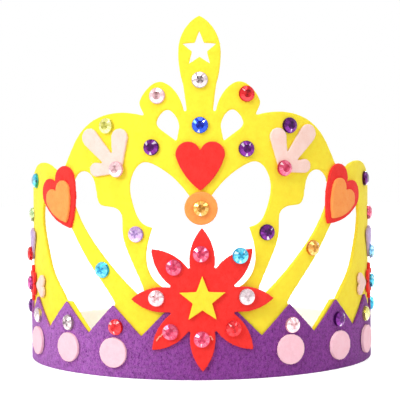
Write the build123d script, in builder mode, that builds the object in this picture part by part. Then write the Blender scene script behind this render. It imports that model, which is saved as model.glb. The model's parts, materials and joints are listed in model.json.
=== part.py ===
from build123d import *
from math import copysign, cos, pi, radians, sin, sqrt
import os

# Child's crown cut from craft felt, with glued trims and flat-backed gems.
# Millimetres, +Z up, front towards -Y. The origin lies below the middle of the whole
# crown, in the plane that the rim stands on.
# Places on the wall are given as on the flat cut sheet: s is the distance along the
# wall from the middle of the front, positive to the right, and z is the height.

# Plan of the wall, measured on the outer face of the yellow sheet
half_width = 94.0
half_depth = 80.7

# Felt thicknesses, and the film of glue between two layers
sheet_felt = 2.0
trim_felt = 1.5
glue = 0.05

# Yellow sheet: how far it reaches round each side, and the forms of its upper edge
sheet_end = 150.0
arch_top = 131.6
arch_end = 82.0
spire_length = 46.5
spire_half_width = 10.3
spire_foot = 6.4
spire_slot = 1.4
star_margin = 1.4
star_drop = 16.2
small_lobe_rise = 14.7
small_lobe_reach = 30.4
side_lobe_top = 107.3
side_lobe_gem_inset = 19.0
side_lobe_gem_drop = 9.1
end_column_width = 22.0
end_column_margin = 8.0
tongue_length = 52.1

# Purple band, with whole teeth from end to end
tooth_count = 10
valley_height = 21.0
valley_lap = 0.6
tooth_height = 36.0

# Back strap: its height, and how far it runs on inside each end of the sheet
strap_height = 17.5
strap_overlap = 14.0

# Flower on the front, with its star
flower_height = 39.6
flower_shift = 0.55
flower_petals = 8
flower_radius = 35.2
flower_notch_radius = 15.2
petal_half_width = 6.0
flower_star_radius = 11.8

# Disc on the tip of the tongue, and the heart above it
orange_disc_radius = 8.2
orange_disc_rise = 4.7
heart_gap = 0.4
heart_width = 24.0
heart_length = 24.0

# Side hearts, leaning outwards, the right one a little more than the left one
side_heart_inset = 3.4
side_heart_drop = 19.6
side_heart_width = 28.3
side_heart_length = 31.3
right_heart_lean = 37.0
left_heart_lean = 27.0
inner_heart_width = 19.5
inner_heart_length = 21.0
inner_heart_margin = 3.3

# Band discs and the gems above them, one on each tooth beside the flower
disc_diameter = 15.3
disc_share = 0.8
tooth_gem_drop = 10.0
last_gem_rise = 1.5

# Sprays of petals on the shoulders
spray_place = 43.0
spray_drop = 28.0
spray_petal = 27.5
spray_petal_half_width = 4.7

# Trims of the sides, from the band upwards
side_trim_inset = 31.0
side_trim_gap = 6.0
small_flower_radius = 10.0
small_flower_petals = 6
forward_gap = 0.4
forward_petal = 10.5
forward_petal_half_width = 3.4
lilac_petal = 15.8
lilac_petal_half_width = 3.2
lilac_gap = 4.6
side_gem_shift = 3.0
side_gem_rise = 1.5

# How far pieces that were glued by hand lie off their even places
hand_shift = 1.0

# Snips of the scissors round a disc, and round the tip of a petal
disc_snips = 24
tip_snips = 6

# Flat-backed gems
gem_diameter = 8.0
gem_height = 3.0
gem_girdle = 0.7
gem_table = 4.4
gem_sides = 8

# How far a straight cut reaches on each side of the wall
cut_depth = 24.0

# The wall is an oval of four quarter turns that meet on the diagonals
arc_centre = (half_width - half_depth) / (2 - sqrt(2))
front_radius = half_depth + arc_centre
side_radius = half_width - arc_centre
front_length = front_radius * pi / 4


def layer_base(level):
    """Distance from the yellow sheet to the back of a trim on the given level."""
    return level * glue + (level - 1) * trim_felt


# The gems on the flower stand furthest forward, the strap lies furthest back
foremost = half_depth + layer_base(3) + gem_height
hindmost = half_depth - sheet_felt - glue
plan_centre = (foremost - hindmost) / 2


def wall_plane(s, out=0.0, z=0.0):
    """Plane that touches the wall at s: x runs along the wall, y up, z outwards."""
    side = copysign(1, s)
    if abs(s) <= front_length:
        turn = s / front_radius
        middle = Vector(0, plan_centre + arc_centre, z)
        radius = front_radius
    else:
        turn = side * (pi / 4 + (abs(s) - front_length) / side_radius)
        middle = Vector(side * arc_centre, plan_centre, z)
        radius = side_radius
    outwards = Vector(sin(turn), -cos(turn), 0)
    along = Vector(cos(turn), sin(turn), 0)
    return Plane(origin=middle + outwards * (radius + out), x_dir=along, z_dir=outwards)


def felt_ring(inner, thickness, height):
    """Upright felt wall all round the oval, from inner outwards."""
    with BuildPart() as ring:
        with BuildSketch(Plane((0, plan_centre, 0))):
            for out, mode in ((inner + thickness, Mode.ADD), (inner, Mode.SUBTRACT)):
                with BuildLine():
                    CenterArc((0, arc_centre), front_radius + out, 225, 90)
                    CenterArc((arc_centre, 0), side_radius + out, 315, 90)
                    CenterArc((0, -arc_centre), front_radius + out, 45, 90)
                    CenterArc((-arc_centre, 0), side_radius + out, 135, 90)
                make_face(mode=mode)
        extrude(amount=height)
    return ring.part


def curve(points, along, up, start=0.0, foot=0.0):
    """Points of a flat outline, drawn in shares of two lengths from start and foot."""
    return [(start + x * along, foot + y * up) for x, y in points]


def flat_points(middle, points):
    """Points of the flat sheet as they lie on the plane that touches the wall at middle."""
    plane = wall_plane(middle)
    return [(plane.to_local_coords(wall_plane(s).origin).X, z) for s, z in points]


def front_ground(end):
    """Ground plan that holds the wall between -end and end."""
    edge = wall_plane(end)
    near = edge.origin - edge.z_dir * half_depth / 2
    far = edge.origin + edge.z_dir * half_depth
    corner = (2 * half_width, -2 * half_depth)
    right = [(near.X, near.Y), (far.X, far.Y), corner]
    left = [(-x, y) for x, y in reversed(right)]
    with BuildSketch() as ground:
        Polygon(*right, *left)
    return ground.sketch


def save(piece, name):
    piece.part.label = name
    export_step(piece.part, f"parts/{name}.step")


def ring_of_points(radius, count, start=0.0, z=0.0):
    step = 2 * pi / count
    return [(radius * cos(start + i * step), radius * sin(start + i * step), z) for i in range(count)]


def star_points(radius, hollow=0.42):
    tips = ring_of_points(radius, 5, radians(90))
    hollows = ring_of_points(radius * hollow, 5, radians(126))
    return [point[:2] for pair in zip(tips, hollows) for point in pair]


def heart_outline(width, length):
    """Heart with its tip at the origin and its lobes up."""
    half = width / 2
    shoulder = (half, 0.7 * length)
    with BuildSketch() as heart:
        with BuildLine():
            ThreePointArc((0, 0.8 * length), (0.47 * half, length), shoulder)
            ThreePointArc(shoulder, (0.62 * half, 0.31 * length), (0, 0))
            mirror(about=Plane.YZ)
        make_face()
    return heart.sketch


def finger_petal(length, half):
    """Petal with a round tip that tapers to its root at the origin."""
    root = 0.55 * half
    snips = ring_of_points(half, 2 * tip_snips, -pi / 2)[: tip_snips + 1]
    tip = [(length - half + x, y) for x, y, _ in snips]
    with BuildSketch() as petal:
        Polygon((0, -root), *tip, (0, root), align=None)
    return petal.sketch


def spray_outline(petals):
    """Petals that spread from one root, each given by length, half width and angle."""
    with BuildSketch() as spray:
        RegularPolygon(0.6 * petals[0][1], tip_snips)
        for length, half, angle in petals:
            with Locations(Rot(0, 0, angle)):
                add(finger_petal(length, half))
    return spray.sketch


def felt_piece(name, outline, middle, level, height=0.0, turn=0.0):
    """A trim: its outline cut straight through one layer of felt on the wall."""
    with BuildPart() as piece:
        with BuildSketch(wall_plane(middle)):
            with Locations(Pos(0, height) * Rot(0, 0, turn)):
                add(outline)
        extrude(amount=cut_depth, both=True)
        add(felt_ring(layer_base(level), trim_felt, 2 * arch_top), mode=Mode.INTERSECT)
    save(piece, name)


def small_trim(name, outline, middle, level, height):
    """A trim too small to bend: a flat piece that touches its ground at its middle."""
    with BuildPart() as piece:
        with BuildSketch(wall_plane(middle, layer_base(level), height)):
            add(outline)
        extrude(amount=trim_felt)
    save(piece, name)


os.makedirs("parts", exist_ok=True)

# Heights that follow one from another, from the band upwards
tooth_gem_height = tooth_height - tooth_gem_drop
disc_room = tooth_gem_height - gem_diameter / 2 - disc_diameter
disc_height = disc_diameter / 2 + disc_share * disc_room
small_flower_height = tooth_height + side_trim_gap
lilac_height = small_flower_height + small_flower_radius + lilac_gap
column_gem_height = lilac_height + lilac_petal + gem_diameter * 7 / 8
column_top = column_gem_height + end_column_margin
tongue_tip = arch_top - tongue_length
orange_disc_height = tongue_tip + orange_disc_rise
heart_tip_height = orange_disc_height + orange_disc_radius + heart_gap
star_height = arch_top + spire_length - star_drop

# Places along the wall
tooth_pitch = 2 * sheet_end / tooth_count
column_start = sheet_end - end_column_width
column_shoulder = (column_start, column_top - end_column_margin / 4)
side_motif = sheet_end - side_trim_inset
side_heart_place = arch_end - side_heart_inset
side_lobe_gem = column_start - side_lobe_gem_inset
side_lobe_span = column_start - arch_end
window_foot = 2 * tooth_pitch

# Yellow sheet. The right half is drawn as three panels, each on the plane that touches
# the wall at its own middle, and mirrored. The openings are cut the same way.
shoulder_middle = 0.63 * arch_end
side_middle = (arch_end + sheet_end) / 2
drop_middle = 0.56 * small_lobe_reach
slot_middle = 0.61 * arch_end
window_middle = 0.88 * arch_end

spire_edge = curve(
    [(0, 1), (0.73, 0.85), (1, 0.67), (0.86, 0.34)],
    spire_half_width,
    spire_length,
    0,
    arch_top,
)
spire_edge.append((spire_foot, arch_top))
small_lobe_edge = [(spire_foot + spire_slot, arch_top)]
small_lobe_edge += curve(
    [(0.40, 0.68), (0.66, 1), (0.98, 0.42), (0.87, -0.26)],
    small_lobe_reach,
    small_lobe_rise,
    0,
    arch_top,
)
arch_edge = curve(
    [(0.287, 0.975), (0.463, 1), (0.640, 0.988), (0.812, 0.919), (0.926, 0.812), (1.037, 0.699)],
    arch_end,
    arch_top,
)
side_lobe_edge = curve(
    [(-0.109, 0.839), (0.087, 0.964), (0.5, 1), (0.87, 0.938)],
    side_lobe_span,
    side_lobe_top,
    arch_end,
)
side_lobe_edge.append(column_shoulder)
end_column_edge = [
    column_shoulder,
    (sheet_end - end_column_width / 2, column_top),
    (sheet_end, column_top - 0.8 * end_column_width),
]
drop_edge = curve(
    [(0.38, -1), (0.35, -0.35), (0.54, 0.06), (0.695, -0.24), (0.38, -1)],
    small_lobe_reach,
    small_lobe_rise,
    0,
    arch_top,
)
tongue_edge = [(0, tongue_tip)]
tongue_edge += curve(
    [
        (0.071, 0.690),
        (0.162, 0.754),
        (0.265, 0.799),
        (0.341, 0.813),
        (0.427, 0.748),
        (0.418, 0.661),
        (0.373, 0.595),
        (0.293, 0.568),
    ],
    arch_end,
    arch_top,
)
stem_edge = curve(
    [(0.293, 0.568), (0.324, 0.502), (0.320, 0.410), (0.250, 0.352), (0.122, 0.314), (0, 0.304)],
    arch_end,
    arch_top,
)
slot_edge = curve(
    [
        (0.774, 0.782),
        (0.698, 0.756),
        (0.671, 0.699),
        (0.644, 0.654),
        (0.567, 0.645),
        (0.503, 0.626),
        (0.490, 0.560),
        (0.454, 0.475),
        (0.390, 0.390),
        (0.333, 0.283),
    ],
    arch_end,
    arch_top,
)
slot_leg_edge = curve(
    [
        (0.333, 0.283),
        (0.463, 0.352),
        (0.598, 0.436),
        (0.744, 0.5395),
        (0.845, 0.638),
        (0.872, 0.707),
        (0.837, 0.765),
        (0.774, 0.782),
    ],
    arch_end,
    arch_top,
)
window_corners = [
    (window_foot - 0.04 * tooth_pitch, valley_height - valley_lap),
    (window_foot + 0.42 * tooth_pitch, tooth_height),
    (window_foot + 0.56 * tooth_pitch, tooth_height),
]
window_side_edge = [window_corners[-1]]
window_side_edge += curve(
    [(1.068, 0.457), (1.162, 0.606), (1.212, 0.755), (1.160, 0.834), (1.049, 0.829)],
    arch_end,
    side_lobe_top,
)
window_leg_edge = curve([(1.049, 0.829), (0.882, 0.690), (0.742, 0.536)], arch_end, side_lobe_top)
window_leg_edge.append((window_foot - 0.52 * tooth_pitch, tooth_height + valley_lap))

with BuildPart() as yellow_lattice:
    with BuildSketch(wall_plane(0)):
        with BuildLine():
            spire = flat_points(0, spire_edge)
            lobe = flat_points(0, small_lobe_edge)
            Spline(*spire, tangents=[(1, -0.45), (-0.12, -1)])
            Line(spire[-1], lobe[0])
            Spline(*lobe, tangents=[(0.2, 1), (-0.5, -1)])
            Polyline(lobe[-1], (lobe[-1][0], 0), (0, 0), spire[0])
        make_face()
    with BuildSketch(wall_plane(shoulder_middle)):
        with BuildLine():
            arch = flat_points(shoulder_middle, arch_edge)
            Spline(*arch, tangents=[(1, 0.35), (0.5, -1)])
            Polyline(arch[-1], (arch[-1][0], 0), (arch[0][0] - spire_foot / 2, 0), arch[0])
        make_face()
    with BuildSketch(wall_plane(side_middle)):
        with BuildLine():
            side_lobe = flat_points(side_middle, side_lobe_edge)
            column = flat_points(side_middle, end_column_edge)
            Spline(*side_lobe, tangents=[(0.35, 1), (0.2, -1)])
            Spline(*column, tangents=[(1, 0.35), (0.05, -1)])
            Polyline(column[-1], (column[-1][0], 0), (side_lobe[0][0], 0), side_lobe[0])
        make_face()
    extrude(amount=cut_depth, both=True)
    add(felt_ring(-sheet_felt, sheet_felt, arch_top + spire_length), mode=Mode.INTERSECT)

    with BuildSketch(wall_plane(0)):
        with Locations((0, star_height)):
            Polygon(*star_points(spire_half_width - star_margin))
        with BuildLine():
            Spline(*flat_points(0, tongue_edge), tangents=[(0.35, 1), (-1, -0.2)])
            Spline(*flat_points(0, stem_edge), tangents=[(0.3, -1), (-1, 0)])
            Line((0, stem_edge[-1][1]), (0, tongue_tip))
        make_face()
    with BuildSketch(wall_plane(drop_middle)):
        with BuildLine():
            Spline(*flat_points(drop_middle, drop_edge), tangents=[(-0.1, 1), (-1, -0.8)])
        make_face()
    with BuildSketch(wall_plane(slot_middle)):
        with BuildLine():
            Spline(*flat_points(slot_middle, slot_edge))
            Spline(*flat_points(slot_middle, slot_leg_edge))
        make_face()
    with BuildSketch(wall_plane(window_middle)):
        with BuildLine():
            Spline(*flat_points(window_middle, window_side_edge), tangents=[(0.6, 1), (-1, -0.4)])
            Spline(*flat_points(window_middle, window_leg_edge), tangents=[(-1, -0.6), (-0.6, -1)])
            Polyline(*flat_points(window_middle, [window_leg_edge[-1]] + window_corners))
        make_face()
    extrude(amount=cut_depth, both=True, mode=Mode.SUBTRACT)
    mirror(about=Plane.YZ)
save(yellow_lattice, "yellow_lattice")

# Purple band with its zigzag edge
with BuildPart() as purple_band:
    add(felt_ring(glue, trim_felt, tooth_height))
    with BuildSketch():
        add(front_ground(sheet_end))
    extrude(amount=tooth_height, mode=Mode.INTERSECT)
    notch_count = int(tooth_count / 2) + 1
    notch_rise = tooth_height - valley_height
    for i in range(-notch_count, notch_count + 1):
        with BuildSketch(wall_plane(i * tooth_pitch)):
            Polygon(
                (0, valley_height),
                (tooth_pitch, valley_height + 2 * notch_rise),
                (-tooth_pitch, valley_height + 2 * notch_rise),
            )
        extrude(amount=cut_depth, both=True, mode=Mode.SUBTRACT)
save(purple_band, "purple_band")

# Back strap, glued inside the two ends of the sheet
with BuildPart() as back_strap:
    add(felt_ring(-sheet_felt - glue - trim_felt, trim_felt, strap_height))
    with BuildSketch():
        add(front_ground(sheet_end - strap_overlap))
    extrude(amount=strap_height, mode=Mode.SUBTRACT)
save(back_strap, "back_strap")

# Flower and star on the front
petal_root = (
    flower_notch_radius * cos(pi / flower_petals),
    flower_notch_radius * sin(pi / flower_petals),
)
with BuildSketch() as petal:
    with BuildLine():
        Line((0, 0), petal_root)
        ThreePointArc(petal_root, (0.66 * flower_radius, petal_half_width), (flower_radius, 0))
        mirror(about=Plane.XZ)
    make_face()
with BuildSketch() as flower_outline:
    Circle(flower_notch_radius / 2)
    with PolarLocations(0, flower_petals):
        add(petal.sketch)
felt_piece("front_flower", flower_outline.sketch, flower_shift, 2, flower_height)

with BuildSketch() as star_outline:
    Polygon(*star_points(flower_star_radius))
felt_piece("flower_star", star_outline.sketch, flower_shift, 3, flower_height)

# Disc and heart above the flower
with BuildSketch() as round_outline:
    RegularPolygon(orange_disc_radius, disc_snips)
small_trim("orange_disc", round_outline.sketch, hand_shift / 4, 1, orange_disc_height)
felt_piece("centre_heart", heart_outline(heart_width, heart_length), 0, 1, heart_tip_height)

# Side hearts, a smaller one on a larger one, with their tips close together
for side, name, lean in ((-1, "left", left_heart_lean), (1, "right", right_heart_lean)):
    for level, width, length, margin, part in (
        (1, side_heart_width, side_heart_length, 0, "side_heart"),
        (2, inner_heart_width, inner_heart_length, inner_heart_margin, "inner_heart"),
    ):
        with BuildSketch() as centred_heart:
            with Locations((0, margin - side_heart_length / 2)):
                add(heart_outline(width, length))
        felt_piece(
            f"{part}_{name}",
            centred_heart.sketch,
            side * side_heart_place,
            level,
            side_lobe_top - side_heart_drop,
            -side * lean,
        )

# Sprays on the shoulders. The two were glued by hand, so they differ a little.
spray_petals = [
    (0.74 * spray_petal, 0.94 * spray_petal_half_width, 95),
    (spray_petal, spray_petal_half_width, 45),
    (0.58 * spray_petal, 0.75 * spray_petal_half_width, 0),
]
mirrored_petals = [(length, half, 180 - angle) for length, half, angle in spray_petals]
right_spray_place = (spray_place - hand_shift, arch_top - spray_drop)
left_spray_place = (-spray_place + hand_shift, arch_top - spray_drop)
felt_piece("spray_right", spray_outline(spray_petals), right_spray_place[0], 1, right_spray_place[1], 5)
felt_piece("spray_left", spray_outline(mirrored_petals), left_spray_place[0], 1, left_spray_place[1])

# Trims of the sides: an upright lilac spray over a small flower with a spray before it
lilac_petals = [(lilac_petal, lilac_petal_half_width, angle) for angle in (62, 90, 118)]
forward_root = side_motif - small_flower_radius - forward_gap - forward_petal_half_width
with BuildSketch() as small_flower:
    RegularPolygon(small_flower_radius / 2, small_flower_petals)
    with PolarLocations(0, small_flower_petals, start_angle=90):
        add(finger_petal(small_flower_radius, 0.58 * small_flower_radius * sin(pi / small_flower_petals)))
for side, name in ((-1, "left"), (1, "right")):
    forward_petals = [
        (forward_petal, forward_petal_half_width, 90 + side * lean) for lean in (112, 68)
    ]
    small_trim(f"lilac_spray_{name}", spray_outline(lilac_petals), side * side_motif, 1, lilac_height)
    small_trim(
        f"side_spray_{name}",
        spray_outline(forward_petals),
        side * forward_root,
        1,
        small_flower_height,
    )
    small_trim(
        f"side_flower_{name}", small_flower.sketch, side * side_motif, 1, small_flower_height
    )


def tooth(number):
    """Middle of a tooth of the band, counted from the front to each side."""
    return copysign((abs(number) - 0.5) * tooth_pitch, number)


# Band discs, glued by hand a little off the middle of their teeth
teeth_beside = int(tooth_count / 2)
disc_shifts = {
    -4: (3.0, -0.2),
    -3: (2.4, -0.1),
    -2: (0.6, -0.5),
    2: (-0.2, 0.5),
    3: (1.6, -0.6),
    4: (-0.6, -1.0),
}
with BuildSketch() as disc_outline:
    RegularPolygon(disc_diameter / 2, disc_snips)
for number, (shift, rise) in disc_shifts.items():
    if abs(number) <= teeth_beside:
        name = f"band_disc_{'left' if number < 0 else 'right'}_{abs(number) - 1}"
        place = tooth(number) + shift * hand_shift
        small_trim(name, disc_outline.sketch, place, 2, disc_height + rise * hand_shift)

# Gems by colour. Each place is s, z and the level of felt that the gem is glued on.
gems = [
    ("clear", 0.0, arch_top + 0.327 * spire_length, 0),
    ("blue", 0.0, heart_tip_height + heart_length + gem_diameter, 0),
    ("rose", -0.69 * small_lobe_reach, arch_top + 0.53 * small_lobe_rise, 0),
    ("red", 0.76 * small_lobe_reach, arch_top + 0.58 * small_lobe_rise, 0),
    ("orange", hand_shift / 4, orange_disc_height, 1),
    ("rose", *left_spray_place, 1),
    ("pink", *right_spray_place, 1),
    ("cyan", -side_lobe_gem, side_lobe_top - side_lobe_gem_drop, 0),
    ("purple", side_lobe_gem, side_lobe_top - side_lobe_gem_drop, 0),
    ("green", -side_motif - side_gem_shift, column_gem_height, 0),
    ("pink", side_motif + side_gem_shift, column_gem_height, 0),
    ("red", -side_motif, lilac_height + side_gem_rise, 1),
    ("sky", side_motif, lilac_height + side_gem_rise, 1),
    ("magenta", -side_motif, small_flower_height, 1),
    ("cyan", side_motif, small_flower_height, 1),
]

# Gems on the arch and its legs: shares of the arch's end and top
for colour, across, up in (
    ("yellow", -0.588, 0.952),
    ("purple", -0.294, 0.868),
    ("purple", 0.278, 0.860),
    ("purple", 0.560, 0.949),
    ("lilac", -0.396, 0.543),
    ("purple", 0.404, 0.547),
    ("cyan", -0.627, 0.405),
    ("orange", 0.726, 0.481),
):
    gems.append((colour, across * arch_end, up * arch_top, 0))

# Gems on the petals of the flower: shares of its radius
for colour, across, up in (
    ("pink", -0.017, 0.636),
    ("cyan", 0.516, 0.608),
    ("clear", 0.602, 0.034),
    ("red", 0.414, -0.401),
    ("pink", -0.011, -0.545),
    ("pink", -0.435, -0.443),
    ("rose", -0.625, 0.023),
    ("pink", -0.381, 0.452),
):
    place = flower_shift + across * flower_radius
    gems.append((colour, place, flower_height + up * flower_radius, 2))

# Gems on the teeth of the band, with the shifts of hand work
for colour, number, shift, rise in (
    ("purple", -5, 0.0, last_gem_rise),
    ("clear", -4, 3.4, 0.4),
    ("clear", -3, 2.2, -0.5),
    ("red", -2, 1.9, -0.8),
    ("rose", 2, 1.0, -0.5),
    ("purple", 3, 1.4, -0.1),
    ("yellow", 4, -1.0, -0.4),
    ("cyan", 5, 0.0, last_gem_rise),
):
    if abs(number) <= teeth_beside:
        place = tooth(number) + shift * hand_shift
        gems.append((colour, place, tooth_gem_height + rise * hand_shift, 1))

girdle = gem_diameter / 2
gem_points = (
    ring_of_points(girdle, gem_sides)
    + ring_of_points(girdle, gem_sides, z=gem_girdle)
    + ring_of_points(gem_table / 2, gem_sides // 2, pi / gem_sides, gem_height)
)
with BuildPart() as gem:
    ConvexPolyhedron(gem_points)
for colour in dict.fromkeys(entry[0] for entry in gems):
    places = [
        wall_plane(s, layer_base(level + 1), z) for name, s, z, level in gems if name == colour
    ]
    with BuildPart() as gem_set:
        with Locations(*places):
            add(gem.part)
    save(gem_set, f"gems_{colour}")
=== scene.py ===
import json
import math
import random

import bpy
import numpy as np
from mathutils import Matrix, Vector

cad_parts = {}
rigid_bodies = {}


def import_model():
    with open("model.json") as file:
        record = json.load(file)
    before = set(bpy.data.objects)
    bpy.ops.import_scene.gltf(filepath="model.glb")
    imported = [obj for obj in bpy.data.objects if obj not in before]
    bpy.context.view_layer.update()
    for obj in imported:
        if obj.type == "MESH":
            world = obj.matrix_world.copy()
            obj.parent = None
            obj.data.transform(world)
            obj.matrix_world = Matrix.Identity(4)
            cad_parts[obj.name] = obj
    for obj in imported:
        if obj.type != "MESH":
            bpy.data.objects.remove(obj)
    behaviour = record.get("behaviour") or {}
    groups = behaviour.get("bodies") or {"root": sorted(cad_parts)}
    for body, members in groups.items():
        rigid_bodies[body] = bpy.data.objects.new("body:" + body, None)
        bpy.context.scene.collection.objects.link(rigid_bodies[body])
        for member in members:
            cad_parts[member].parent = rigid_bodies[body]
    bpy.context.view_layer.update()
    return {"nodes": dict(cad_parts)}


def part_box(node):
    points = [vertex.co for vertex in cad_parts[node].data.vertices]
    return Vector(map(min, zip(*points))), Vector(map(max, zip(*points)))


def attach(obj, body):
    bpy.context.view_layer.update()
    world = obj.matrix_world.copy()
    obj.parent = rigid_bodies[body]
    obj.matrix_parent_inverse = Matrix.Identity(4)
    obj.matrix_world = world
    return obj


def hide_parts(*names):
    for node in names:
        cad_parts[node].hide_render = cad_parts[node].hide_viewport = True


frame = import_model()
bpy.ops.object.select_all(action="DESELECT")

# The view of the photograph: a long lens almost level with the middle of the crown,
# from about 57 cm, looking down by 1.3 degrees.
photo_width = 400
focal_pixels = 1007.65
middle_pixels = -0.34
sensor_width = 36.0
view_distance = 0.5689
view_height = 0.0994
look_down = 0.0226
view_roll = 0.0075
bpy.ops.object.camera_add(
    location=(0, -view_distance, view_height),
    rotation=(math.pi / 2 - look_down, view_roll, 0),
)
camera = bpy.context.active_object
camera.data.sensor_width = sensor_width
camera.data.lens = sensor_width * focal_pixels / photo_width
camera.data.shift_x = middle_pixels / photo_width
bpy.context.scene.camera = camera

# Yellow sheet: stiff craft felt, 2 mm thick, cut in one piece with scissors and bent
# into the front of the ring. Its surface is matted fibre and its cut edges are soft.
sheet_voxel = 0.0005
sheet_triangles = 185000
edge_lean = 0.5
weld_gap = 0.000005
felt_unevenness = 0.0002
star_tips = 5
star_radius = 0.0088
star_hollow = 0.42
star_height = 0.1619
star_cut = 0.02
soft_angle = 0.8


def link_nodes(tree, *pairs):
    for source, target in pairs:
        tree.links.new(source, target)


def make_felt_fibres():
    """Matted fibre: broad mottling, curly strands and the relief that they give."""
    group = bpy.data.node_groups.new("felt fibres", "ShaderNodeTree")
    group.interface.new_socket("Vector", in_out="INPUT", socket_type="NodeSocketVector")
    for name, usual in (("Mottle scale", 260.0), ("Strand scale", 1500.0)):
        scale = group.interface.new_socket(name, in_out="INPUT", socket_type="NodeSocketFloat")
        scale.default_value = usual
    group.interface.new_socket("Mottle", in_out="OUTPUT", socket_type="NodeSocketFloat")
    group.interface.new_socket("Strands", in_out="OUTPUT", socket_type="NodeSocketFloat")
    group.interface.new_socket("Relief", in_out="OUTPUT", socket_type="NodeSocketFloat")
    add = group.nodes.new
    source = add("NodeGroupInput")
    result = add("NodeGroupOutput")
    mottle = add("ShaderNodeTexNoise")
    mottle.inputs["Detail"].default_value = 5.0
    mottle.inputs["Roughness"].default_value = 0.68
    curl = add("ShaderNodeTexNoise")
    curl.inputs["Scale"].default_value = 300.0
    curl.inputs["Detail"].default_value = 2.0
    centred = add("ShaderNodeVectorMath")
    centred.operation = "SUBTRACT"
    centred.inputs[1].default_value = (0.5, 0.5, 0.5)
    bent = add("ShaderNodeVectorMath")
    bent.operation = "MULTIPLY_ADD"
    bent.inputs[1].default_value = (0.004, 0.004, 0.004)
    layers = []
    for lie in ((0.2, 0.1, 0.0), (1.4, 0.3, 0.9), (0.8, 0.9, 2.2), (2.3, 1.2, 0.4)):
        laid = add("ShaderNodeMapping")
        laid.inputs["Rotation"].default_value = lie
        laid.inputs["Scale"].default_value = (1.0, 1.0, 0.16)
        field = add("ShaderNodeTexNoise")
        field.inputs["Detail"].default_value = 1.0
        middle = add("ShaderNodeMath")
        middle.operation = "SUBTRACT"
        middle.inputs[1].default_value = 0.5
        near = add("ShaderNodeMath")
        near.operation = "ABSOLUTE"
        strand = add("ShaderNodeMapRange")
        strand.inputs["From Min"].default_value = 0.01
        strand.inputs["From Max"].default_value = 0.05
        strand.inputs["To Min"].default_value = 1.0
        strand.inputs["To Max"].default_value = 0.0
        link_nodes(
            group,
            (bent.outputs["Vector"], laid.inputs["Vector"]),
            (laid.outputs["Vector"], field.inputs["Vector"]),
            (source.outputs["Strand scale"], field.inputs["Scale"]),
            (field.outputs["Fac"], middle.inputs[0]),
            (middle.outputs["Value"], near.inputs[0]),
            (near.outputs["Value"], strand.inputs["Value"]),
        )
        layers.append(strand.outputs["Result"])
    while len(layers) > 1:
        top = add("ShaderNodeMath")
        top.operation = "MAXIMUM"
        link_nodes(group, (layers.pop(), top.inputs[0]), (layers.pop(), top.inputs[1]))
        layers.append(top.outputs["Value"])
    fine = add("ShaderNodeTexNoise")
    fine.inputs["Detail"].default_value = 3.0
    relief = add("ShaderNodeMath")
    relief.operation = "MULTIPLY_ADD"
    relief.inputs[1].default_value = 0.5
    link_nodes(
        group,
        (source.outputs["Vector"], mottle.inputs["Vector"]),
        (source.outputs["Mottle scale"], mottle.inputs["Scale"]),
        (source.outputs["Vector"], curl.inputs["Vector"]),
        (curl.outputs["Color"], centred.inputs[0]),
        (centred.outputs["Vector"], bent.inputs[0]),
        (source.outputs["Vector"], bent.inputs[2]),
        (source.outputs["Vector"], fine.inputs["Vector"]),
        (source.outputs["Strand scale"], fine.inputs["Scale"]),
        (layers[0], relief.inputs[0]),
        (fine.outputs["Fac"], relief.inputs[2]),
        (mottle.outputs["Fac"], result.inputs["Mottle"]),
        (layers[0], result.inputs["Strands"]),
        (relief.outputs["Value"], result.inputs["Relief"]),
    )
    return group


felt_fibres = make_felt_fibres()


def felt_material(name, dark, colour, strand_colour, strand_share, scales=(260.0, 1500.0)):
    """Felt: mottled between two tones, with strands of a third, and the relief of both."""
    material = bpy.data.materials.new(name)
    material.use_nodes = True
    tree = material.node_tree
    add = tree.nodes.new
    shader = tree.nodes["Principled BSDF"]
    shader.inputs["Roughness"].default_value = 0.9
    shader.inputs["Specular IOR Level"].default_value = 0.15
    shader.inputs["Sheen Weight"].default_value = 0.12
    shader.inputs["Sheen Roughness"].default_value = 0.5
    place = add("ShaderNodeTexCoord")
    fibres = add("ShaderNodeGroup")
    fibres.node_tree = felt_fibres
    fibres.inputs["Mottle scale"].default_value = scales[0]
    fibres.inputs["Strand scale"].default_value = scales[1]
    tone = add("ShaderNodeValToRGB")
    tone.color_ramp.elements[0].position = 0.38
    tone.color_ramp.elements[0].color = dark
    tone.color_ramp.elements[1].position = 0.6
    tone.color_ramp.elements[1].color = colour
    share = add("ShaderNodeMath")
    share.operation = "MULTIPLY"
    share.inputs[1].default_value = strand_share
    strands = add("ShaderNodeMix")
    strands.data_type = "RGBA"
    strands.inputs["B"].default_value = strand_colour
    bump = add("ShaderNodeBump")
    bump.inputs["Strength"].default_value = 0.3
    bump.inputs["Distance"].default_value = 0.00025
    link_nodes(
        tree,
        (place.outputs["Object"], fibres.inputs["Vector"]),
        (fibres.outputs["Mottle"], tone.inputs["Fac"]),
        (fibres.outputs["Strands"], share.inputs[0]),
        (share.outputs["Value"], strands.inputs["Factor"]),
        (tone.outputs["Color"], strands.inputs["A"]),
        (strands.outputs["Result"], shader.inputs["Base Color"]),
        (fibres.outputs["Relief"], bump.inputs["Height"]),
        (bump.outputs["Normal"], shader.inputs["Normal"]),
    )
    return material


matting = bpy.data.textures.new("matting", "CLOUDS")
matting.noise_scale = 0.0022
matting.noise_depth = 2


def edge_points(mesh):
    """The points on the cut edges of a felt piece, where the normal runs along the wall."""
    found = []
    for vertex in mesh.vertices:
        out = Vector((vertex.co.x, vertex.co.y, 0)).normalized()
        if abs(vertex.normal.dot(out)) < edge_lean:
            found.append(vertex.index)
    return found


def pare_edge(piece, depth):
    """Takes a sliver off the cut edge of a piece and leaves its thickness as it is."""
    edge = piece.vertex_groups.new(name="cut edge")
    edge.add(edge_points(piece.data), 1.0, "REPLACE")
    paring = piece.modifiers.new("pared edge", "DISPLACE")
    paring.vertex_group = "cut edge"
    paring.mid_level = 0
    paring.strength = -depth
    bpy.ops.object.modifier_apply(modifier="pared edge")


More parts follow.
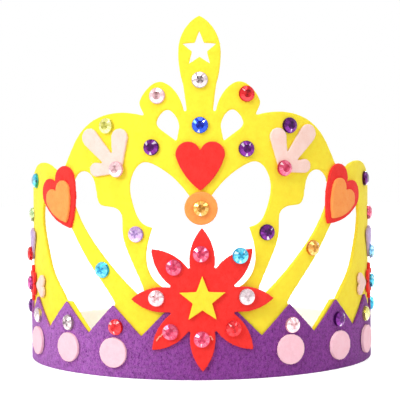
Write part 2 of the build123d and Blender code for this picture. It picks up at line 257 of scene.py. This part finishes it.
def cut_felt(node, voxel, material, triangles=None, pared=0):
    """A felt piece with soft cut edges, in the place of the plain solid of one node."""
    piece = bpy.data.objects.new(f"felt_{node}", frame["nodes"][node].data.copy())
    bpy.context.collection.objects.link(piece)
    bpy.ops.object.select_all(action="DESELECT")
    piece.select_set(True)
    bpy.context.view_layer.objects.active = piece
    bpy.ops.object.mode_set(mode="EDIT")
    bpy.ops.mesh.select_all(action="SELECT")
    bpy.ops.mesh.remove_doubles(threshold=weld_gap)
    bpy.ops.object.mode_set(mode="OBJECT")
    body = piece.modifiers.new("fibre body", "REMESH")
    body.mode = "VOXEL"
    body.voxel_size = voxel
    edges = piece.modifiers.new("soft edges", "SMOOTH")
    edges.factor = 0.5
    edges.iterations = 2
    uneven = piece.modifiers.new("uneven felt", "DISPLACE")
    uneven.texture = matting
    uneven.strength = felt_unevenness
    for modifier in ("fibre body", "soft edges", "uneven felt"):
        bpy.ops.object.modifier_apply(modifier=modifier)
    if pared:
        pare_edge(piece, pared)
    if triangles:
        made = sum(len(face.vertices) - 2 for face in piece.data.polygons)
        thinned = piece.modifiers.new("fewer faces", "DECIMATE")
        thinned.ratio = min(1.0, triangles / made)
        bpy.ops.object.modifier_apply(modifier="fewer faces")
    bpy.ops.object.shade_smooth()
    piece.data.materials.clear()
    piece.data.materials.append(material)
    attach(piece, "root")
    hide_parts(node)
    return piece


yellow_felt = felt_material(
    "yellow felt",
    (0.95, 0.73, 0.03, 1),
    (0.97, 0.795, 0.038, 1),
    (0.99, 0.85, 0.07, 1),
    0.25,
)
yellow_sheet = cut_felt(
    "yellow_lattice",
    sheet_voxel,
    yellow_felt,
    triangles=sheet_triangles,
)

bpy.ops.mesh.primitive_cylinder_add(
    vertices=2 * star_tips,
    radius=star_radius,
    depth=star_cut,
    location=(0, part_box("yellow_lattice")[0][1], star_height),
    rotation=(math.pi / 2, 0, 0),
)
star_cutter = bpy.context.active_object
for corner in star_cutter.data.vertices:
    step = round(math.atan2(corner.co.x, corner.co.y) * star_tips / math.pi)
    if step % 2:
        corner.co.x *= star_hollow
        corner.co.y *= star_hollow
star_hole = yellow_sheet.modifiers.new("star hole", "BOOLEAN")
star_hole.operation = "DIFFERENCE"
star_hole.object = star_cutter
bpy.ops.object.select_all(action="DESELECT")
yellow_sheet.select_set(True)
bpy.context.view_layer.objects.active = yellow_sheet
bpy.ops.object.modifier_apply(modifier="star hole")
bpy.ops.object.shade_smooth_by_angle(angle=soft_angle)
bpy.data.objects.remove(star_cutter)

# Purple band: heathered felt, 1.5 mm thick, cut with a zigzag edge and glued round the
# foot of the yellow sheet. Its colour is painted paler towards the left: painted light.
band_voxel = 0.0004
band_triangles = 120000
painted_light_start = 0.01
painted_light_full = -0.09
painted_light_tint = (1.65, 2.7, 1.65, 1)
purple_felt = felt_material(
    "purple felt",
    (0.09, 0.009, 0.12, 1),
    (0.185, 0.024, 0.235, 1),
    (0.55, 0.16, 0.61, 1),
    0.3,
    (600.0, 1400.0),
)


def paint_light_from_left(material, start, end, pale):
    """Paints light on a felt: its colour grows paler from one place across the crown to
    another.
    """
    tree = material.node_tree
    add = tree.nodes.new
    shader = tree.nodes["Principled BSDF"]
    dyed = shader.inputs["Base Color"].links[0].from_socket
    place = add("ShaderNodeTexCoord")
    axes = add("ShaderNodeSeparateXYZ")
    along = add("ShaderNodeMapRange")
    along.interpolation_type = "SMOOTHSTEP"
    along.inputs["From Min"].default_value = start
    along.inputs["From Max"].default_value = end
    fade = add("ShaderNodeMix")
    fade.data_type = "RGBA"
    fade.blend_type = "MULTIPLY"
    fade.inputs["Factor"].default_value = 1.0
    tint = add("ShaderNodeMix")
    tint.data_type = "RGBA"
    tint.inputs["A"].default_value = (1, 1, 1, 1)
    tint.inputs["B"].default_value = pale
    link_nodes(
        tree,
        (place.outputs["Object"], axes.inputs["Vector"]),
        (axes.outputs["X"], along.inputs["Value"]),
        (along.outputs["Result"], tint.inputs["Factor"]),
        (dyed, fade.inputs["A"]),
        (tint.outputs["Result"], fade.inputs["B"]),
        (fade.outputs["Result"], shader.inputs["Base Color"]),
    )


# Painted light: the band's colour is made paler towards the left, where the left softbox
# stands.
paint_light_from_left(purple_felt, painted_light_start, painted_light_full, painted_light_tint)
cut_felt(
    "purple_band",
    band_voxel,
    purple_felt,
    triangles=band_triangles,
)

# Back strap: a strip of pale pink felt that closes the ring, glued inside the ends of
# the yellow sheet. It is thin and pale enough for light to come through.
strap_voxel = 0.0005
strap_glow_depth = 0.003
pale_felt = felt_material(
    "pale felt",
    (0.98, 0.88, 0.96, 1),
    (1.0, 0.92, 1.0, 1),
    (1.0, 0.96, 1.0, 1),
    0.3,
)
pale_shader = pale_felt.node_tree.nodes["Principled BSDF"]
pale_shader.inputs["Subsurface Weight"].default_value = 1.0
pale_shader.inputs["Subsurface Radius"].default_value = (1, 1, 1)
pale_shader.inputs["Subsurface Scale"].default_value = strap_glow_depth
cut_felt(
    "back_strap",
    strap_voxel,
    pale_felt,
)

# Band discs: circles of pink felt, 1.5 mm thick, cut by hand. Three on each side are
# glued on the teeth of the band.
disc_paring = 0.00025
trim_voxel = 0.0004
pink_felt = felt_material(
    "pink felt",
    (0.97, 0.54, 0.62, 1),
    (0.99, 0.60, 0.68, 1),
    (1.0, 0.70, 0.77, 1),
    0.3,
)
for side in ("left", "right"):
    for number in range(1, 4):
        cut_felt(
            f"band_disc_{side}_{number}",
            trim_voxel,
            pink_felt,
            pared=disc_paring,
        )

# Sprays: three petals of a warmer pink felt in one piece on each side of the arch, and
# a small one on each end column.
blush_felt = felt_material(
    "blush felt",
    (0.91, 0.60, 0.51, 1),
    (0.94, 0.66, 0.58, 1),
    (0.97, 0.75, 0.69, 1),
    0.3,
)
for side in ("left", "right"):
    cut_felt(
        f"spray_{side}",
        trim_voxel,
        blush_felt,
    )
    cut_felt(
        f"side_spray_{side}",
        trim_voxel,
        blush_felt,
    )

# Lilac sprays: three narrow petals in one piece, cut from lilac felt and glued on each
# end column above the side flower.
lilac_felt = felt_material(
    "lilac felt",
    (0.42, 0.28, 0.55, 1),
    (0.55, 0.40, 0.68, 1),
    (0.80, 0.70, 0.90, 1),
    0.3,
)
for side in ("left", "right"):
    cut_felt(
        f"lilac_spray_{side}",
        trim_voxel,
        lilac_felt,
    )

# Red trims: the flower with eight petals, the heart above it, the side hearts and the
# small side flowers, each cut in one piece and glued flat.
red_felt = felt_material(
    "red felt",
    (0.84, 0.022, 0.018, 1),
    (0.90, 0.033, 0.027, 1),
    (0.94, 0.065, 0.055, 1),
    0.25,
)
flower_paring = 0.0003
for node, flat, area, ground, pared in (
    ("front_flower", (0.0704, 0.0704), 0.002303, "purple_band", flower_paring),
    ("centre_heart", (0.024, 0.024), 0.000394, "yellow_lattice", 0),
    ("side_heart_left", (0.0283, 0.0313), 0.000613, "yellow_lattice", 0),
    ("side_heart_right", (0.0283, 0.0313), 0.000613, "yellow_lattice", 0),
    ("side_flower_left", (0.020, 0.018), 0.000229, "yellow_lattice", 0),
    ("side_flower_right", (0.020, 0.018), 0.000229, "yellow_lattice", 0),
):
    cut_felt(
        node,
        trim_voxel,
        red_felt,
        pared=pared,
    )

# Star on the flower: felt in a deeper yellow than the sheet, cut with five sharp points
# and glued on the middle of the flower.
star_voxel = 0.0003
star_felt = felt_material(
    "star felt",
    (0.93, 0.68, 0.03, 1),
    (0.96, 0.74, 0.035, 1),
    (0.98, 0.82, 0.07, 1),
    0.25,
)
cut_felt(
    "flower_star",
    star_voxel,
    star_felt,
)

# Orange trims: the disc on the tip of the tongue and the smaller hearts on the side
# hearts, cut from orange felt and glued flat.
orange_felt = felt_material(
    "orange felt",
    (0.97, 0.29, 0.06, 1),
    (0.99, 0.34, 0.075, 1),
    (1.0, 0.42, 0.13, 1),
    0.3,
)
for node, flat, area, ground in (
    ("orange_disc", (0.0164, 0.0164), 0.000209, "yellow_lattice"),
    ("inner_heart_left", (0.0195, 0.021), 0.000282, "side_heart_left"),
    ("inner_heart_right", (0.0195, 0.021), 0.000282, "side_heart_right"),
):
    cut_felt(
        node,
        trim_voxel,
        orange_felt,
    )

# Loose fibres: the cut edges of the felt are raw, so single fibres stand out of them,
# most of all round the red trims. Those of the rim turn up from what it stands on.
fibre_radius = 0.000035
fibre_length = 0.0011
fibre_bend = 0.35
fibre_stray = 0.7
fibre_root = 0.0001
fibre_chance = random.Random(3)
bpy.ops.mesh.primitive_cylinder_add(
    vertices=3,
    radius=1,
    depth=1,
    location=(0, 0, 0.5),
)
master_fibre = bpy.context.active_object
bpy.ops.object.transform_apply(location=True)
bpy.ops.object.mode_set(mode="EDIT")
for height in (0.3, 0.65):
    bpy.ops.mesh.select_all(action="SELECT")
    bpy.ops.mesh.bisect(plane_co=(0, 0, height), plane_no=(0, 0, 1))
bpy.ops.object.mode_set(mode="OBJECT")


def add_fibres(name, felts, share, material):
    """Fibres on one in so many points of the cut edges of some felt pieces."""
    stem = np.array([point.co for point in master_fibre.data.vertices])
    faces = [tuple(face.vertices) for face in master_fibre.data.polygons]
    points, all_faces = [], []
    for felt in felts:
        for index in edge_points(felt.data):
            if fibre_chance.random() > share:
                continue
            root = felt.data.vertices[index]
            stray = Vector([fibre_chance.uniform(-fibre_stray, fibre_stray) for _ in range(3)])
            way = (root.normal + stray).normalized()
            if root.co.z + way.z * fibre_length < 0:
                way.z = -way.z
            turn = np.array(way.to_track_quat("Z", "Y").to_matrix())
            length = fibre_length * fibre_chance.uniform(0.5, 1.3)
            bend = fibre_bend * length * fibre_chance.uniform(-1, 1)
            fibre = stem * (fibre_radius, fibre_radius, length)
            fibre[:, 0] += bend * stem[:, 2] ** 2
            start = np.array(root.co - way * fibre_root)
            shift = len(points) * len(stem)
            points.append(fibre @ turn.T + start)
            all_faces += [tuple(corner + shift for corner in face) for face in faces]
    mesh = bpy.data.meshes.new(name)
    mesh.from_pydata(np.concatenate(points).tolist(), [], all_faces)
    fibres = bpy.data.objects.new(name, mesh)
    bpy.context.collection.objects.link(fibres)
    mesh.materials.append(material)
    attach(fibres, "root")
    return fibres


def felts_with(material):
    """The felt pieces that are cut from one felt."""
    return [
        piece
        for piece in bpy.data.objects
        if piece.name.startswith("felt_") and piece.data.materials[0] == material
    ]


for name, share, material, slot in (
    ("fibres_yellow", 0.012, yellow_felt, "yellow_felt"),
    ("fibres_purple", 0.02, purple_felt, "purple_felt"),
    ("fibres_red", 0.035, red_felt, "red_felt"),
    ("fibres_pink", 0.02, pink_felt, "pink_felt"),
    ("fibres_blush", 0.02, blush_felt, "pink_felt"),
    ("fibres_orange", 0.02, orange_felt, "orange_felt"),
):
    add_fibres(name, felts_with(material), share, material)
bpy.data.objects.remove(master_fibre)

# Gems: round flat-backed acrylic, 8 mm across, with a table and a row of sloping facets
# over a foil back. Each is glued on the felt with its table outwards.
gem_radius = 0.004
gem_girdle = 0.0007
gem_facets = 16
facet_turn = math.pi / gem_facets
rim_rise = 0.0008
rim_share = 0.925
crown_rise = 0.0009
crown_share = 0.54
star_share = 0.52
gem_tilt = 0.05
height_slack = 0.00001
back_slack = 0.0001
# Painted highlights: near-white glints painted on crown facets at these turns round each gem.
glint_turns = (0.8, 2.45, 4.6)
glint_shift = 0.15
glint_share = 0.6
glint_reach = math.cos(0.13)
glint_depth = 2.0
chance = random.Random(7)
# Tones of each gem: deep for the painted dark reflection of the table, body, and light for
# bright facets.
gem_colours = {
    "clear": ((0.11, 0.08, 0.085), (0.60, 0.48, 0.51), (0.88, 0.77, 0.80)),
    "blue": ((0.0, 0.002, 0.10), (0.006, 0.025, 0.50), (0.03, 0.12, 0.80)),
    "rose": ((0.28, 0.12, 0.12), (0.86, 0.52, 0.56), (0.97, 0.80, 0.82)),
    "pink": ((0.34, 0.010, 0.045), (0.66, 0.045, 0.12), (0.86, 0.22, 0.34)),
    "red": ((0.24, 0.002, 0.006), (0.74, 0.010, 0.014), (0.90, 0.07, 0.08)),
    "purple": ((0.02, 0.0, 0.032), (0.085, 0.002, 0.125), (0.24, 0.025, 0.33)),
    "lilac": ((0.22, 0.13, 0.33), (0.58, 0.36, 0.68), (0.85, 0.68, 0.88)),
    "cyan": ((0.01, 0.12, 0.26), (0.03, 0.46, 0.72), (0.30, 0.82, 0.92)),
    "sky": ((0.05, 0.20, 0.40), (0.20, 0.52, 0.80), (0.55, 0.85, 0.95)),
    "orange": ((0.33, 0.13, 0.01), (0.72, 0.30, 0.04), (0.95, 0.62, 0.20)),
    "yellow": ((0.30, 0.28, 0.05), (0.72, 0.68, 0.12), (0.95, 0.92, 0.45)),
    "green": ((0.16, 0.26, 0.09), (0.55, 0.72, 0.32), (0.88, 0.95, 0.66)),
    "magenta": ((0.14, 0.005, 0.06), (0.50, 0.02, 0.25), (0.80, 0.20, 0.50)),
}


def pick_top():
    """Selects the highest faces of the mesh that is being edited."""
    bpy.ops.object.mode_set(mode="OBJECT")
    mesh = bpy.context.active_object.data
    top = max(face.center.z for face in mesh.polygons)
    for face in mesh.polygons:
        face.select = face.center.z > top - height_slack and face.normal.z > 0.9
    bpy.ops.object.mode_set(mode="EDIT")
    bpy.ops.mesh.select_mode(type="FACE")


bpy.ops.mesh.primitive_cylinder_add(
    vertices=gem_facets,
    radius=gem_radius,
    depth=gem_girdle,
    location=(0, 0, gem_girdle / 2),
)
master_gem = bpy.context.active_object
bpy.ops.object.transform_apply(location=True)
for rise, shrink in ((rim_rise, rim_share), (crown_rise, crown_share), (0, star_share)):
    pick_top()
    bpy.ops.mesh.extrude_region_move(TRANSFORM_OT_translate={"value": (0, 0, rise)})
    bpy.ops.transform.resize(value=(shrink, shrink, 1), center_override=(0, 0, 0))
    bpy.ops.transform.rotate(value=facet_turn, orient_axis="Z", center_override=(0, 0, 0))
bpy.ops.mesh.poke()
bpy.ops.object.mode_set(mode="OBJECT")
for face in master_gem.data.polygons:
    face.select = len(face.vertices) == 4
bpy.ops.object.mode_set(mode="EDIT")
bpy.ops.mesh.quads_convert_to_tris(quad_method="SHORTEST_DIAGONAL")
bpy.ops.mesh.select_all(action="SELECT")
bpy.ops.mesh.normals_make_consistent(inside=False)
bpy.ops.object.mode_set(mode="OBJECT")


def paint_facet_reflections(gem, spin):
    """Paints each facet's shade into the gem, from 0, deep, to 1, bright: painted reflections
    and highlights.
    """
    mesh = gem.data
    painted_reflection = mesh.color_attributes.new(name="painted_reflection", type="FLOAT_COLOR", domain="CORNER")
    table_height = gem_girdle + rim_rise + crown_rise
    table_star = gem_radius * rim_share * crown_share * star_share
    lobes = chance.choice((2, 3, 3, 4))
    phase = chance.uniform(0, 2 * math.pi)
    darkness = chance.uniform(0.75, 1.0)
    glints = [
        turn + chance.uniform(-glint_shift, glint_shift)
        for turn in glint_turns
        if chance.random() < glint_share
    ]
    for face in mesh.polygons:
        angle = math.atan2(face.center.y, face.center.x) + spin
        radius = math.hypot(face.center.x, face.center.y)
        low_side = -math.sin(angle)
        lobe = math.cos(lobes * angle + phase)
        # The table is painted dark, a painted reflection in irregular lobes; its outer ring is
        # lighter below.
        if face.center.z > table_height - height_slack and radius < table_star:
            depth = 0.12 + 0.12 * lobe + chance.uniform(-0.05, 0.1)
        elif face.center.z > table_height - height_slack:
            depth = 0.26 + 0.22 * lobe + 0.08 * low_side + chance.uniform(-0.1, 0.12)
        # Crown facets: painted lighter on the lower side, with a painted highlight where a
        # glint falls.
        elif face.center.z > gem_girdle + rim_rise:
            depth = 0.6 + 0.1 * low_side + chance.uniform(-0.22, 0.17)
            if any(math.cos(angle - glint) > glint_reach for glint in glints):
                depth = glint_depth
        else:
            depth = chance.uniform(0.3, 0.5)
        depth = min(max(1 - darkness * (1 - depth), 0.0), 1.0)
        for corner in face.loop_indices:
            painted_reflection.data[corner].color = (depth, depth, depth, 1)


def gem_material(name, deep, body, light):
    """Tinted acrylic over foil: each facet's base colour is its painted reflection, a depth of
    the one colour.
    """
    material = bpy.data.materials.new(f"{name} gem")
    material.use_nodes = True
    tree = material.node_tree
    shader = tree.nodes["Principled BSDF"]
    shader.inputs["Metallic"].default_value = 0.85
    shader.inputs["Roughness"].default_value = 0.15
    shader.inputs["Coat Weight"].default_value = 0.35
    shader.inputs["Coat Roughness"].default_value = 0.03
    painted_reflection = tree.nodes.new("ShaderNodeVertexColor")
    painted_reflection.layer_name = "painted_reflection"
    depths = tree.nodes.new("ShaderNodeValToRGB")
    ramp = depths.color_ramp
    ramp.elements[0].position = 0.05
    ramp.elements[0].color = (*deep, 1)
    ramp.elements[1].position = 1.0
    # The top of the ramp is near white: the painted highlight of the glints.
    ramp.elements[1].color = (*[1 - (1 - part) * 0.4 for part in light], 1)
    for position, tone in ((0.45, body), (0.85, light), (0.95, light)):
        ramp.elements.new(position).color = (*tone, 1)
    link_nodes(
        tree,
        (painted_reflection.outputs["Color"], depths.inputs["Fac"]),
        (depths.outputs["Color"], shader.inputs["Base Color"]),
    )
    return material


def gem_places(node):
    """Where each gem of a node stands: the middle of its back, and its outward direction."""
    bpy.ops.object.select_all(action="DESELECT")
    copy = bpy.data.objects.new("gem places", frame["nodes"][node].data.copy())
    bpy.context.collection.objects.link(copy)
    copy.select_set(True)
    bpy.context.view_layer.objects.active = copy
    bpy.ops.object.mode_set(mode="EDIT")
    bpy.ops.mesh.select_all(action="SELECT")
    bpy.ops.mesh.remove_doubles(threshold=weld_gap)
    bpy.ops.mesh.separate(type="LOOSE")
    bpy.ops.object.mode_set(mode="OBJECT")
    places = []
    for solid in list(bpy.context.selected_objects):
        points = np.array([vertex.co for vertex in solid.data.vertices])
        middle = (points.min(0) + points.max(0)) / 2
        _, _, axes = np.linalg.svd(points - points.mean(0))
        outward = axes[2] if np.dot(axes[2][:2], middle[:2]) > 0 else -axes[2]
        spread = (points - middle) @ outward
        back = points[spread < spread.min() + back_slack].mean(0)
        places.append((Vector(back), Vector(outward)))
        bpy.data.objects.remove(solid)
    return sorted(places, key=lambda place: (round(place[0].x, 4), place[0].z))


for colour, (deep, body, light) in gem_colours.items():
    material = gem_material(colour, deep, body, light)
    gems = []
    for back, outward in gem_places(f"gems_{colour}"):
        gem = bpy.data.objects.new(f"gems_of_{colour}", master_gem.data.copy())
        bpy.context.collection.objects.link(gem)
        spin = chance.uniform(-facet_turn, facet_turn)
        paint_facet_reflections(gem, spin)
        lean = Vector([chance.uniform(-gem_tilt, gem_tilt) for _ in range(2)]).to_3d()
        turn = (outward + lean).to_track_quat("Z", "Y").to_matrix().to_4x4()
        gem.data.transform(Matrix.Translation(back) @ turn @ Matrix.Rotation(spin, 4, "Z"))
        gems.append(gem)
    bpy.ops.object.select_all(action="DESELECT")
    for gem in gems:
        gem.select_set(True)
    bpy.context.view_layer.objects.active = gems[0]
    if len(gems) > 1:
        bpy.ops.object.join()
    gem_set = gems[0]
    gem_set.name = f"gem_set_{colour}"
    gem_set.data.materials.clear()
    gem_set.data.materials.append(material)
    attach(gem_set, "root")
    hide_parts(f"gems_{colour}")
bpy.data.objects.remove(master_gem)

# Glue threads: strings of dried glue that ran out from under the gems of two lower
# petals of the flower. Each is given by its gem and by runs from the gem's middle.
glue_radius = 0.00038
glue_sink = 0.00005
glue_threads = (
    (
        (-0.0153, 0.0240),
        ((-0.0034, -0.0009), (-0.0043, -0.0013), (-0.0048, -0.0025), (-0.0056, -0.0022)),
        ((-0.0056, -0.0022), (-0.0060, -0.0035), (-0.0069, -0.0038), (-0.0068, -0.0046)),
    ),
    (
        (0.0002, 0.0204),
        ((0.0035, 0.0014), (0.0045, 0.0015), (0.0048, 0.0004), (0.0053, -0.0004)),
    ),
)
glue = bpy.data.materials.new("dried glue")
glue.use_nodes = True
glue_shader = glue.node_tree.nodes["Principled BSDF"]
glue_shader.inputs["Base Color"].default_value = (0.93, 0.30, 0.20, 1)
glue_shader.inputs["Roughness"].default_value = 0.22
glue_shader.inputs["Coat Weight"].default_value = 0.6
glue_shader.inputs["Coat Roughness"].default_value = 0.1
strings = bpy.data.curves.new("glue_threads", "CURVE")
strings.dimensions = "3D"
strings.bevel_depth = glue_radius
strings.bevel_resolution = 3
strings.resolution_u = 8
strings.use_fill_caps = True
for (gem_x, gem_z), *runs in glue_threads:
    back, outward = min(
        gem_places("gems_pink"),
        key=lambda place: abs(place[0].x - gem_x) + abs(place[0].z - gem_z),
    )
    sideways = Vector((0, 0, 1)).cross(outward)
    for run in runs:
        spline = strings.splines.new("NURBS")
        spline.points.add(len(run) - 1)
        spline.order_u = 3
        spline.use_endpoint_u = True
        for point, (across, up) in zip(spline.points, run):
            spot = back + sideways * across + Vector((0, 0, up)) - outward * glue_sink
            point.co = (*spot, 1)
glue_piece = bpy.data.objects.new("glue_threads", strings)
bpy.context.collection.objects.link(glue_piece)
bpy.ops.object.select_all(action="DESELECT")
glue_piece.select_set(True)
bpy.context.view_layer.objects.active = glue_piece
bpy.ops.object.convert(target="MESH")
glue_piece = bpy.context.active_object
bpy.ops.object.shade_smooth()
glue_piece.data.materials.append(glue)
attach(glue_piece, "root")

# Studio: a plain white floor that runs to a white surround, a softbox on the left, weak
# ones on the right and above, and one behind that lights the strap from outside.
floor_size = 6
lamp_aim = Vector((0, 0, 0.08))
bpy.ops.mesh.primitive_plane_add(size=floor_size, location=(0, 0, 0))
floor = bpy.context.active_object
floor.name = "floor"


def seen_as_white(tree, plain, white, output_socket):
    """Shows one shader to the light and another to the camera, gloss and glass."""
    add = tree.nodes.new
    path = add("ShaderNodeLightPath")
    camera_or_gloss = add("ShaderNodeMath")
    camera_or_gloss.operation = "MAXIMUM"
    any_ray = add("ShaderNodeMath")
    any_ray.operation = "MAXIMUM"
    mix = add("ShaderNodeMixShader")
    link_nodes(
        tree,
        (path.outputs["Is Camera Ray"], camera_or_gloss.inputs[0]),
        (path.outputs["Is Glossy Ray"], camera_or_gloss.inputs[1]),
        (camera_or_gloss.outputs["Value"], any_ray.inputs[0]),
        (path.outputs["Is Transmission Ray"], any_ray.inputs[1]),
        (any_ray.outputs["Value"], mix.inputs["Fac"]),
        (plain, mix.inputs[1]),
        (white, mix.inputs[2]),
        (mix.outputs["Shader"], output_socket),
    )


world = bpy.data.worlds.new("studio")
bpy.context.scene.world = world
world.use_nodes = True
tree = world.node_tree
plain = tree.nodes["Background"]
plain.inputs["Color"].default_value = (0.98, 0.98, 1.0, 1)
plain.inputs["Strength"].default_value = 0.58
white = tree.nodes.new("ShaderNodeBackground")
white.inputs["Color"].default_value = (1, 1, 1, 1)
white.inputs["Strength"].default_value = 1.0
seen_as_white(
    tree,
    plain.outputs["Background"],
    white.outputs["Background"],
    tree.nodes["World Output"].inputs["Surface"],
)

floor_material = bpy.data.materials.new("floor")
floor_material.use_nodes = True
tree = floor_material.node_tree
paper = tree.nodes["Principled BSDF"]
paper.inputs["Base Color"].default_value = (0.85, 0.85, 0.85, 1)
paper.inputs["Roughness"].default_value = 0.9
paper.inputs["Specular IOR Level"].default_value = 0.1
glow = tree.nodes.new("ShaderNodeEmission")
glow.inputs["Color"].default_value = (1, 1, 1, 1)
glow.inputs["Strength"].default_value = 0.5
lit_paper = tree.nodes.new("ShaderNodeAddShader")
link_nodes(
    tree,
    (paper.outputs["BSDF"], lit_paper.inputs[0]),
    (glow.outputs["Emission"], lit_paper.inputs[1]),
)
seen_as_white(
    tree,
    paper.outputs["BSDF"],
    lit_paper.outputs["Shader"],
    tree.nodes["Material Output"].inputs["Surface"],
)
floor.data.materials.append(floor_material)


def add_softbox(name, location, size, power, colour):
    """A square softbox that faces the middle of the crown."""
    bpy.ops.object.light_add(type="AREA", location=location)
    lamp = bpy.context.active_object
    lamp.name = name
    lamp.data.size = size
    lamp.data.energy = power
    lamp.data.color = colour
    aim = lamp_aim - Vector(location)
    lamp.rotation_euler = aim.to_track_quat("-Z", "Y").to_euler()


add_softbox("softbox left", (-1.0, -0.9, 0.8), 0.5, 11.5, (1.0, 0.99, 0.98))
add_softbox("softbox right", (0.9, -0.9, 0.9), 0.3, 2.0, (1.0, 0.99, 0.99))
add_softbox("softbox above", (0, -0.3, 0.8), 0.4, 2.1, (1.0, 0.99, 1.0))
add_softbox("softbox behind", (0.4, 1.1, 0.7), 0.6, 10.0, (1.0, 0.99, 1.0))

bpy.context.scene.view_settings.view_transform = "Standard"
